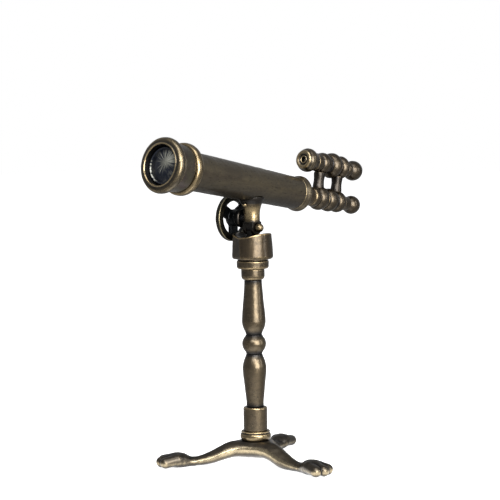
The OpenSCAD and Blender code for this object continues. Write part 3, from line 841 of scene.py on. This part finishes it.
def trough_shade(points):
    """Painted shade in the trough and on the lug, none on the drum's outside."""
    return np.clip((np.hypot(points[:, 0], points[:, 1]) - 4.0) * 1.6, -1, 1)


def head():
    low, high = heights("swivel_head")
    reach, margin = 6.2, 0.5
    box = [-reach, -reach, low - margin], [reach, reach, high + margin]
    cast("head_drum", "head", "swivel_head", bronze, UPRIGHT, head_field, box,
         0.11, plain=0.25, spread=3.2, painted_shade=trough_shade)


# ---- tilting foot ----

# From the upright plane to the ears' outer faces
EAR = 1.75


def tube_radius(s):
    """Outer radius of the tapered tube at a station."""
    taper = (TUBE_R_FRONT - TUBE_R_BACK) / (TUBE_FRONT - TUBE_BACK)
    return TUBE_R_BACK + taper * (s - TUBE_BACK)


def post_field(p):
    """The flared post with its slotted ears, and a bed on top that fits the tube."""
    top = TUBE_Z - 3.3
    keys = smooth_keys(
        above(PIN_Z, [(1.25, 2.12), (4.2, 2.18), (5.9, 2.6), (7.2, 3.35)]) + [(top, 3.5)]
    )
    stations, radii = np.array(keys).T
    flare = np.interp(p[:, 2], stations, np.gradient(radii, stations))
    reach = np.interp(p[:, 2], stations, radii)
    body = (np.hypot(p[:, 0], p[:, 1]) - reach) / np.sqrt(1 + flare**2)
    body = smooth_max(body, PIN_Z + 1.1 - p[:, 2], 0.4)
    body = smooth_max(body, p[:, 2] - top, 0.15)
    ears = rod_field(p, 0, (0, 0, PIN_Z), 1.85, EAR)
    ears = smooth_min(ears, block_field(p, (0, 0, PIN_Z + 0.75), (EAR, 1.8, 0.75)), 0.1)
    body = smooth_min(body, ears, 0.35)
    slot = smooth_min(
        rod_field(p, 0, (0, 0, PIN_Z), 1.68, 0.84),
        block_field(p, (0, 0, PIN_Z - 2.0), (0.84, 4.0, 2.0)), 0.05,
    )
    body = smooth_max(body, -slot, 0.1)
    local = to_local(p, ALONG_TUBE)
    bed = np.hypot(local[:, 0], local[:, 1]) - tube_radius(local[:, 2]) - 0.01
    return smooth_max(body, -bed, 0.06)


def post_wear(points):
    """The post's waist, rubbed bright by handling."""
    return 0.65 * np.exp(-(((points[:, 2] - PIN_Z - 3.9) / 1.7) ** 4))


def clevis_shade(points):
    """Painted shade on the ears and under the flare, none on the post between."""
    above_ears = (points[:, 2] - PIN_Z - 1.9) * 1.5
    below_flare = (TUBE_Z - 5.4 - points[:, 2]) * 1.5
    return np.clip(np.minimum(above_ears, below_flare), -1, 1)


def wheel_reach():
    """Inner and outer ends of the hand wheel's hub, off the tube's upright plane."""
    low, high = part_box("hand_wheel")
    return -high.x / MM, -low.x / MM


def tilting_foot():
    box = [-5, -5, PIN_Z - 2.3], [5, 5, TUBE_Z - 2.5]
    cast("saddle", "telescope", "saddle_post", gold, UPRIGHT, post_field, box,
         0.11, plain=0.35, spread=3.0, painted_shade=clevis_shade, wear_and_highlight=post_wear)

    ball_r, ball_out = 1.17, 1.87
    ball = [
        (-EAR - ball_out + ball_r * (1 - math.cos(a)), max(ball_r * math.sin(a), 0.02))
        for a in np.linspace(0.05, 2.2, 16)
    ]
    pin = [(-EAR - 0.02, 0.9), (-EAR, 0.5), (EAR + 0.75, 0.5)]
    lathe("pin_ball", "telescope", "tilt_pin", "gold", gold, along_x(PIN_Z), ball + pin,
          softness=0.05, gap=0.06, segments=64)

    boss_in, boss_out = 2.75, 4.5
    boss = [
        (2.0, 1.2), (boss_in - 0.1, 1.25), (boss_in, 1.6), (boss_in + 0.05, 2.2),
        (boss_in + 0.3, 2.42), (boss_out - 0.35, 2.45), (boss_out - 0.05, 2.2), (boss_out, 1.8),
    ]
    lathe("boss", "telescope", "wheel_boss", "dark_bronze", dark_bronze, along_x(WHEEL_Z), boss,
          bore=0.52, softness=0.1, gap=0.08, segments=80)

    hub_end = wheel_reach()[1]
    axle = [(1.0, 0.5)] + above(hub_end, [
        (0, 0.5), (0.05, 0.95), (0.3, 1.0), (0.75, 0.75), (1.0, 0.3),
    ])
    lathe("axle_screw", "telescope", "wheel_axle", "gold", dark_bronze, along_x(WHEEL_Z), axle,
          softness=0.07, gap=0.06, segments=48)

    dome = [
        (-1.5, 0.35), (-0.02, 0.35), (0.0, 0.7), (0.15, 0.74), (0.45, 0.6), (0.68, 0.3),
        (0.74, 0.05),
    ]
    for side, station in (("back", -3.45), ("front", 1.75)):
        place = across_tube(station, -1, tube_radius(0) + 1.0)
        lathe("saddle_screw_" + side, "telescope", "saddle_screws", "gold", gold, place, dome,
              softness=0.05, gap=0.05, segments=48, rough=0.0)


# ---- hand wheel ----

SPOKE_TURN = math.radians(120)
# From the upright plane to the wheel's middle plane
WHEEL_OUT = 6.6


def wheel_field(q):
    """The wheel about its own axis, with its middle plane at zero."""
    rho, level = np.hypot(q[:, 0], q[:, 1]), np.abs(q[:, 2])
    rim_in, rim_out, rim_half, edge = 4.35, 6.25, 0.7, 0.3
    mid, deep = (rim_in + rim_out) / 2, (rim_out - rim_in) / 2
    rim = box_join(np.abs(rho - mid) - deep + edge, level - rim_half + edge) - edge
    # A shallow hollow round the outer band
    rim = smooth_max(rim, -(np.hypot(rho - rim_out - 1.1, q[:, 2]) - 1.18), 0.15)
    inner, outer = wheel_reach()
    middle, hub_half, hub_r, soft = (inner + outer) / 2, (outer - inner) / 2, 2.2, 0.2
    hub_level = np.abs(q[:, 2] - (WHEEL_OUT - middle))
    hub = box_join(rho - hub_r + soft, hub_level - hub_half + soft) - soft
    spokes = None
    for i in range(3):
        a = SPOKE_TURN + i * FULL_TURN / 3
        u = q[:, 0] * math.cos(a) + q[:, 1] * math.sin(a)
        v = -q[:, 0] * math.sin(a) + q[:, 1] * math.cos(a)
        spoke = block_field(np.stack([u, v, q[:, 2]], 1), (2.8, 0, 0), (2.2, 1.3, 0.3)) - soft
        spokes = spoke if spokes is None else np.minimum(spokes, spoke)
    field = smooth_min(smooth_min(rim, spokes, 0.35), hub, 0.4)
    axle_r = 0.56
    return np.maximum(field, axle_r - rho)


def wheel_shade(q):
    """Painted shade on the spokes and the hub, none on the rim, in the wheel's own axes."""
    return np.clip((np.hypot(q[:, 0], q[:, 1]) - 4.7) * 1.6, -1, 1)


def hand_wheel():
    place = np.array([
        [0, 0, 1, -WHEEL_OUT],
        [0, 1, 0, 0],
        [-1, 0, 0, WHEEL_Z],
        [0, 0, 0, 1],
    ])
    box = [-6.8, -6.8, -1.4], [6.8, 6.8, 2.6]
    cast("wheel_casting", "wheel", "hand_wheel", wheel_bronze, place, wheel_field, box,
         0.12, plain=0.5, spread=3.2, painted_shade=wheel_shade)


# ---- tube ----


def underside_shade(points):
    """Painted shade that darkens the tube towards its underside; none above."""
    side = np.maximum(np.hypot(points[:, 0], points[:, 1]), 1e-6)
    return 0.08 - 0.62 * np.clip((-points[:, 1] / side - 0.2) / 0.6, 0, 1)


def tube_piece(name, node, slot, material, outline, bore, **look):
    """A turned piece on the tube's axis."""
    lathe(name, "telescope", node, slot, material, ALONG_TUBE, outline, bore, **look)


def tube():
    shell = [(TUBE_BACK, TUBE_R_BACK), (TUBE_FRONT, TUBE_R_FRONT)]
    # The tube darkens towards its underside as painted shade
    tube_piece("tube_shell", "main_tube", "bronze", tube_bronze, shell, 3.75,
               softness=0.05, gap=0.25, segments=128, rough=0.03, paint=underside_shade)

    hood_bore, band_back, band_front, rim_back = 5.07, 25.3, 27.8, 32.3
    tube_piece("band_ring", "hood_band", "gold", gold, above(band_back, [
        (0, 5.4), (0.05, 6.0), (0.35, 6.45), (0.9, 6.66), (1.5, 6.68), (2.0, 6.6), (2.3, 6.4),
        (2.45, 6.15),
    ]) + [(band_front, 5.9)], hood_bore, softness=0.07, gap=0.08, segments=128)
    tube_piece("sleeve_ring", "hood_sleeve", "bronze", sleeve_bronze, above(band_front, [
        (0, 5.85), (0.1, 5.93), (0.3, 6.0), (3.7, 6.04), (3.95, 6.0), (4.1, 5.9), (4.25, 5.98),
    ]) + [(rim_back, 6.0)], hood_bore, softness=0.07, gap=0.1, segments=128)
    # Its inner wall gets painted shade, as deep in a recess
    tube_piece("rim_ring", "front_rim", "gold", rim_gold, above(rim_back, [
        (0, 5.95), (0.02, 6.4), (0.25, 6.78), (0.7, 7.0), (1.2, 7.06), (1.7, 6.99), (2.05, 6.8),
        (2.28, 6.5), (2.36, 6.2), (2.38, 5.95), (2.42, 5.75), (2.52, 5.6), (2.63, 5.5),
        (2.68, 5.38), (2.65, 5.26), (2.5, 5.16), (2.2, 5.08), (1.6, 4.96), (0.9, 4.86), (0.2, 4.8),
    ]), 4.72, softness=0.11, gap=0.07, segments=160, dark_inside=5.1, window=0.25)
    lens()

    tube_piece("tail_lip", "tail_cap", "bronze", tube_bronze, above(-20.3, [
        (0, 2.2), (0.02, 3.4), (0.2, 4.2), (0.55, 4.68), (1.0, 4.85), (1.5, 4.78), (2.1, 4.52),
        (2.7, 4.36),
    ]), 2.12, softness=0.1, gap=0.1, segments=128)
    tube_piece("tail_neck", "tail_socket", "bronze", bronze, above(-24.3, [
        (0, 2.3), (0.2, 2.5), (1.1, 2.46), (3.3, 2.46), (3.7, 2.6), (3.98, 2.75),
    ]), 1.86, softness=0.08, gap=0.1)


def lens_streaks_and_glints(points):
    """Fine streaks that run out from near the lens's middle, with a painted reflection high on one
    side and a painted glint on the bead, for its attribute.
    """
    x, y = points[:, 0], points[:, 1]
    across, up = x - 1.2, y - 0.8
    angle, rho = np.arctan2(up, across), np.hypot(across, up)
    rng = np.random.default_rng(11)
    streaks = np.zeros(len(points))
    for _ in range(16):
        folds, phase = rng.integers(5, 46), rng.random() * FULL_TURN
        twist = rng.normal() * 0.4
        streaks += np.cos(folds * angle + phase + twist * rho)
    reach = np.exp(-(((rho - 1.7) / 1.6) ** 2))
    patchy = 0.5 + 0.5 * waves(points, 1.6, 5)
    # A painted reflection: a pale patch high on one side of the dome
    pale = 1.1 * np.exp(-((x - 2.1) ** 2 + (y - 2.3) ** 2) / 3.2)
    middle = 0.3 * np.exp(-((rho / 1.6) ** 2))
    face = 0.27 * streaks * (reach * patchy + 0.6 * pale) + middle + pale
    # A painted glint: a bright arc on the bead, low on one side
    turn = np.mod(np.arctan2(y, x), FULL_TURN)
    painted_glint = np.exp(-(((turn - math.radians(205)) / 0.75) ** 4))
    bead = -1 + 2.7 * painted_glint * (0.75 + 0.5 * waves(points, 0.5, 6))
    bead_r = 4.15
    return np.where(np.hypot(x, y) < bead_r, face, bead)


def lens():
    """A domed lens held by a thin bead at its edge."""
    back, edge, dome, lens_r = 32.42, 33.12, 1.0, 4.66
    curve_r = (lens_r**2 + dome**2) / (2 * dome)
    half = math.asin((lens_r - 0.45) / curve_r)
    face = [
        (edge + dome - curve_r + curve_r * math.cos(a), curve_r * math.sin(a))
        for a in np.linspace(half, 0.02, 24)
    ]
    bead = [
        (back, lens_r - 0.1), (back + 0.05, lens_r), (edge + 0.3, lens_r),
        (edge + 0.42, lens_r - 0.1), (edge + 0.42, lens_r - 0.2), (edge + 0.3, lens_r - 0.32),
    ]
    # Its attribute carries the streaks, a painted reflection and a painted glint
    tube_piece("front_lens", "objective_lens", "lens", lens_glass, bead + face, 0.0,
               softness=0.04, gap=0.08, segments=288, rough=0.0, paint=lens_streaks_and_glints)


# ---- eyepiece and finder ----


def focuser_piece(name, node, slot, material, place, outline, bore=0.0, **look):
    """A turned piece that slides with the eyepiece."""
    lathe(name, "focuser", node, slot, material, place, outline, bore, **look)


def crown(low, high, valley, peak):
    """One crowned ring between two stations."""
    return [
        (low + (high - low) * t, valley + (peak - valley) * math.sin(math.pi * t) ** 0.6)
        for t in np.linspace(0, 1, 15)
    ]


def eye_ball(name, node, place, centre, r, front, hole):
    """A ball with a sight hole through its back, cut flat where it meets its barrel."""
    start, end = math.asin(hole / r), math.acos(-(front - centre) / r)
    line = [(centre - r * math.cos(a), r * math.sin(a)) for a in np.linspace(start, end, 40)]
    focuser_piece(name, node, "bronze", ring_bronze, place, line, hole, softness=0.05, gap=0.1)


def eye_glass(name, node, place, back, radius):
    """A small flat lens deep in a sight hole."""
    focuser_piece(name, node, "lens", lens_glass, place, [(back, radius), (back + 0.68, radius)],
                  softness=0.04, gap=0.1, segments=48, rough=0.0)


def eyepiece():
    focuser_piece("draw", "draw_tube", "gold", gold, ALONG_TUBE, [(-30.2, 1.8), (-14.1, 1.8)], 1.4,
                  softness=0.04, gap=0.3, segments=64)
    focuser_piece("eye_body", "eyepiece_body", "bronze", ring_bronze, ALONG_TUBE,
                  crown(-29.95, -26.5, 2.25, 3.33)
                  + [(-26.2, 2.7), (-25.6, 2.68), (-24.8, 2.55), (-24.5, 2.3)],
                  1.82, softness=0.1, gap=0.08)
    focuser_piece("eye_barrel", "eyepiece_barrel", "bronze", ring_bronze, ALONG_TUBE,
                  [(-40.6, 1.95), (-38.7, 1.95), (-38.2, 2.25)] + crown(-37.85, -34.85, 2.1, 2.95)
                  + crown(-34.25, -30.7, 2.2, 3.2) + [(-30.35, 2.5), (-30.22, 2.4)],
                  1.3, softness=0.1, gap=0.08)
    eye_ball("eye_ball", "eyepiece_ball", ALONG_TUBE, -42.9, 2.56, -40.62, 0.95)
    eye_glass("eye_glass", "eye_lens", ALONG_TUBE, -43.28, 1.3)
    eye_glass("finder_glass", "finder_eye_lens", ALONG_FINDER, -42.48, 1.26)


def finder():
    ring_bore = 1.22
    # Its mouth gets painted shade inside
    focuser_piece("finder_front", "finder_bell", "gold", rim_gold, ALONG_FINDER, [
        (-24.58, 2.4), (-24.3, 2.5), (-23.7, 2.64), (-23.2, 2.84), (-22.7, 3.08), (-22.1, 3.22),
        (-21.5, 3.18), (-21.0, 2.98), (-20.6, 2.7), (-20.35, 2.58), (-20.15, 2.5), (-19.98, 2.3),
        (-19.9, 2.0), (-19.95, 1.75), (-20.12, 1.5), (-20.3, 1.3), (-20.3, 1.15), (-20.12, 1.0),
        (-20.12, 0.88), (-20.3, 0.74), (-20.7, 0.68), (-21.4, 0.66),
    ], 0.66, softness=0.06, gap=0.05, dark_inside=0.8)
    focuser_piece("finder_lens", "finder_objective", "lens", lens_glass, ALONG_FINDER, [
        (-21.48, 0.62), (-21.2, 0.62), (-21.1, 0.5), (-21.0, 0.3), (-20.98, 0.05),
    ], softness=0.04, gap=0.05, segments=64, rough=0.0)
    focuser_piece("finder_rings", "finder_body", "bronze", ring_bronze, ALONG_FINDER,
                  crown(-34.15, -30.55, 2.2, 3.5) + crown(-30.05, -26.6, 2.15, 2.98)
                  + [(-26.2, 2.5), (-25.4, 2.42), (-24.8, 2.42), (-24.6, 2.4)],
                  ring_bore, softness=0.1, gap=0.08)
    focuser_piece("finder_eye", "finder_barrel", "bronze", ring_bronze, ALONG_FINDER,
                  [(-39.8, 1.9)] + crown(-39.7, -37.95, 1.95, 2.3) + crown(-37.65, -34.7, 2.1, 3.2)
                  + [(-34.35, 2.5), (-34.3, 2.4)],
                  ring_bore, softness=0.1, gap=0.08)
    eye_ball("finder_end", "finder_ball", ALONG_FINDER, -42.1, 2.78, -39.82, 0.9)

    low, high = 2.42, FINDER_UP - 2.42
    middle = (low + high) / 2
    post = [
        (low, 1.55), (low + 0.6, 1.6), (middle - 0.9, 1.5), (middle, 1.42), (middle + 0.9, 1.5),
        (high - 0.6, 1.6), (high, 1.55),
    ]
    for side, station in (("front", -27.7), ("back", -35.5)):
        focuser_piece("finder_post_" + side, "finder_posts", "gold", post_bronze,
                      across_tube(station, 1), post, softness=0.2, segments=64)


# ---- stage, lights and camera ----


def white_floor():
    """A pale floor, washed out to white for the camera and dim in reflections."""
    recipe = Recipe(bpy.data.materials.new("floor_white"))
    paint = recipe.node("ShaderNodeBsdfDiffuse", {"Color": (0.8, 0.8, 0.8, 1)})
    glow = recipe.node("ShaderNodeEmission", {"Strength": 0.92})
    seen = recipe.node("ShaderNodeAddShader", {0: paint.outputs[0], 1: glow.outputs[0]})
    dim = recipe.node("ShaderNodeBsdfDiffuse", {"Color": (0.35, 0.35, 0.35, 1)})
    # A round pool of light under the object, in reflections only: 26 to 48 mm in radius
    centred = recipe.node("ShaderNodeMapping", {
        "Vector": recipe.place(), "Location": (-14 * MM, 16 * MM, 0),
    })
    away = recipe.node("ShaderNodeVectorMath", {0: centred.outputs["Vector"]}, operation="LENGTH")
    strength = recipe.mapped(away.outputs["Value"], 26 * MM, 48 * MM, 1.3, 0.0)
    pool = recipe.node("ShaderNodeEmission", {"Strength": strength})
    felt = recipe.node("ShaderNodeAddShader", {0: dim.outputs[0], 1: pool.outputs[0]})
    return recipe.finished(recipe.by_ray(felt, seen))


def floor():
    mesh = bpy.data.meshes.new("floor")
    # Metres from the middle to each side
    wide = 1.6
    corners = [(-wide, -wide, 0), (wide, -wide, 0), (wide, wide, 0), (-wide, wide, 0)]
    mesh.from_pydata(corners, [], [(0, 1, 2, 3)])
    mesh.materials.append(white_floor())
    sheet = bpy.data.objects.new("floor", mesh)
    bpy.context.scene.collection.objects.link(sheet)


def studio():
    """White behind the object for the camera, and a dimmer air round it."""
    recipe = Recipe(bpy.data.worlds.new("studio"))
    seen = recipe.node("ShaderNodeBackground", {"Color": (1, 1, 1, 1), "Strength": 1.0})
    felt = recipe.node("ShaderNodeBackground", {"Color": (0.97, 0.98, 1, 1), "Strength": 0.36})
    bpy.context.scene.world = recipe.finished(recipe.by_ray(felt, seen), "ShaderNodeOutputWorld")


def soft_light(name, azimuth, elevation, distance, size, power, colour=(1, 1, 1)):
    """A soft box aimed at the object's middle. Azimuth is counted as the camera's is."""
    data = bpy.data.lights.new(name, "AREA")
    data.shape = "RECTANGLE"
    data.size, data.size_y = size
    data.energy = power
    data.color = colour
    lamp = bpy.data.objects.new(name, data)
    a, e = math.radians(azimuth), math.radians(elevation)
    back = np.array([math.sin(a) * math.cos(e), -math.cos(a) * math.cos(e), math.sin(e)])
    lamp.location = back * distance + np.array([0, 0, 0.05])
    lamp.rotation_euler = (math.radians(90) - e, 0, a)
    bpy.context.scene.collection.objects.link(lamp)


def camera():
    """A long lens that looks a little down, 41 degrees round from the front towards +X."""
    data = bpy.data.cameras.new("camera")
    data.lens, data.sensor_width = 126.0, 36.0
    data.clip_start, data.clip_end = 0.01, 10
    eye = bpy.data.objects.new("camera", data)
    azimuth, down, roll = math.radians(41), math.radians(4.755), math.radians(-1.01)
    # Where it stands: sideways from the column's axis, away from it and above the floor
    aside, away, up = -0.65, 455.0, 94.13
    c, s = math.cos(azimuth), math.sin(azimuth)
    place = Matrix.Translation((MM * (aside * c + away * s), MM * (aside * s - away * c), MM * up))
    place @= Matrix.Rotation(azimuth, 4, "Z")
    place @= Matrix.Rotation(math.radians(90) - down, 4, "X")
    place @= Matrix.Rotation(roll, 4, "Z")
    eye.matrix_world = place
    bpy.context.scene.collection.objects.link(eye)
    bpy.context.scene.camera = eye


# ---- the whole ----

# The few nodes that keep the frame's own shape
KEPT = {"thrust_washer": gold}
for dark in "base_washer", "base_nut", "tie_rod", "swivel_screw", "pin_nut", "objective_cell":
    KEPT[dark] = dark_bronze

tripod()
column()
head()
tilting_foot()
hand_wheel()
tube()
eyepiece()
finder()
for node, material in KEPT.items():
    slots = frame["nodes"][node].data.materials
    slots.clear()
    slots.append(material)

floor()
studio()
camera()
soft_light("key", azimuth=69, elevation=16, distance=0.55, size=(0.4, 0.42), power=5.0,
           colour=(1, 0.97, 0.92))
soft_light("over", azimuth=40, elevation=66, distance=0.6, size=(0.5, 0.3), power=1.6)
soft_light("edge", azimuth=118, elevation=16, distance=0.6, size=(0.06, 0.4), power=0.5)
soft_light("front", azimuth=36, elevation=34, distance=0.55, size=(0.36, 0.13), power=1.2)
bpy.context.scene.view_settings.view_transform = "Standard"
